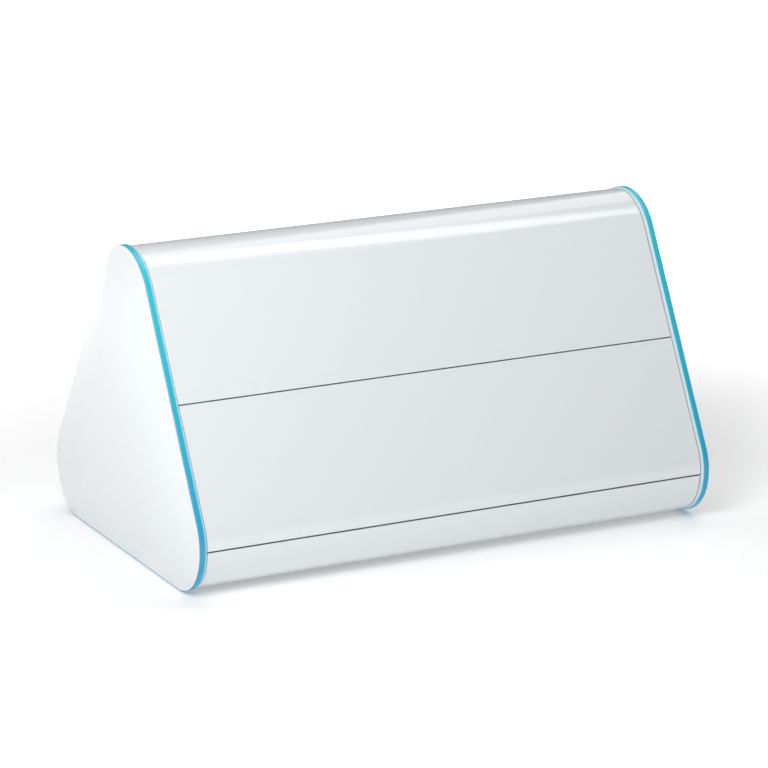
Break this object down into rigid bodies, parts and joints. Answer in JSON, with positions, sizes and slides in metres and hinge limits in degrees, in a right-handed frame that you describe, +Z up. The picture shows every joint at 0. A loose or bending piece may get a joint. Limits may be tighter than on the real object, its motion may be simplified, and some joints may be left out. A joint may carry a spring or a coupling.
{
  "type": "wipes dispenser",
  "caption": "Wedge-shaped countertop dispenser for baby wipes, with a drop-down front flap, a hinged refill cover, a soft orifice and blue end rings.",
  "frame": {"origin": "centre of the footprint, on the plane of the feet", "axes": "+X along the length, to the right seen from the front; +Y to the rear; +Z up"},
  "size_m": [0.2772, 0.165, 0.1464],
  "materials": {
    "shell_white": "glossy moulded",
    "frame_white": "satin moulded",
    "trim_blue": "satin",
    "soft_seal": "matte",
    "foot_rubber": "matte",
    "steel": "plain"
  },
  "bodies": {
    "housing": {"base_shell": "shell_white", "left_end_frame": "frame_white", "right_end_frame": "frame_white", "left_trim_ring": "trim_blue", "right_trim_ring": "trim_blue", "left_end_cap": "shell_white", "right_end_cap": "shell_white", "dispensing_panel": "frame_white", "orifice_membrane": "soft_seal", "flap_gasket": "soft_seal", "cover_seal": "soft_seal", "latch_body": "frame_white", "latch_spring": "steel", "flap_hinge_pins": "steel", "cover_hinge_pins": "steel", "cap_screws": "steel", "base_screws": "steel", "rubber_feet": "foot_rubber"},
    "flap": {"front_flap": "shell_white", "flap_liner": "frame_white", "latch_striker": "steel"},
    "cover": {"top_cover": "shell_white"},
    "press_plate": {"press_plate": "frame_white", "plate_weight": "steel"},
    "plunger": {"latch_plunger": "frame_white"}
  },
  "joints": [
    {"name": "flap_hinge", "type": "hinge", "parent": "housing", "child": "flap", "pos_m": [0, -0.07726, 0.02891], "axis": [1, 0, 0], "range_deg": [0, 110]},
    {"name": "cover_hinge", "type": "hinge", "parent": "housing", "child": "cover", "pos_m": [0, 0.04196, 0.08706], "axis": [-1, 0, 0], "range_deg": [0, 75]},
    {"name": "plate_lift", "type": "slide", "parent": "housing", "child": "press_plate", "axis": [0, 0, 1], "range_m": [0, 0.045]},
    {"name": "latch_push", "type": "slide", "parent": "housing", "child": "plunger", "axis": [0, -0.8792, 0.4764], "range_m": [0, 0.0081]}
  ],
  "couplings": [
    {"joint": "latch_push", "follows": "flap_hinge", "m_per_rad": 0.004167}
  ]
}
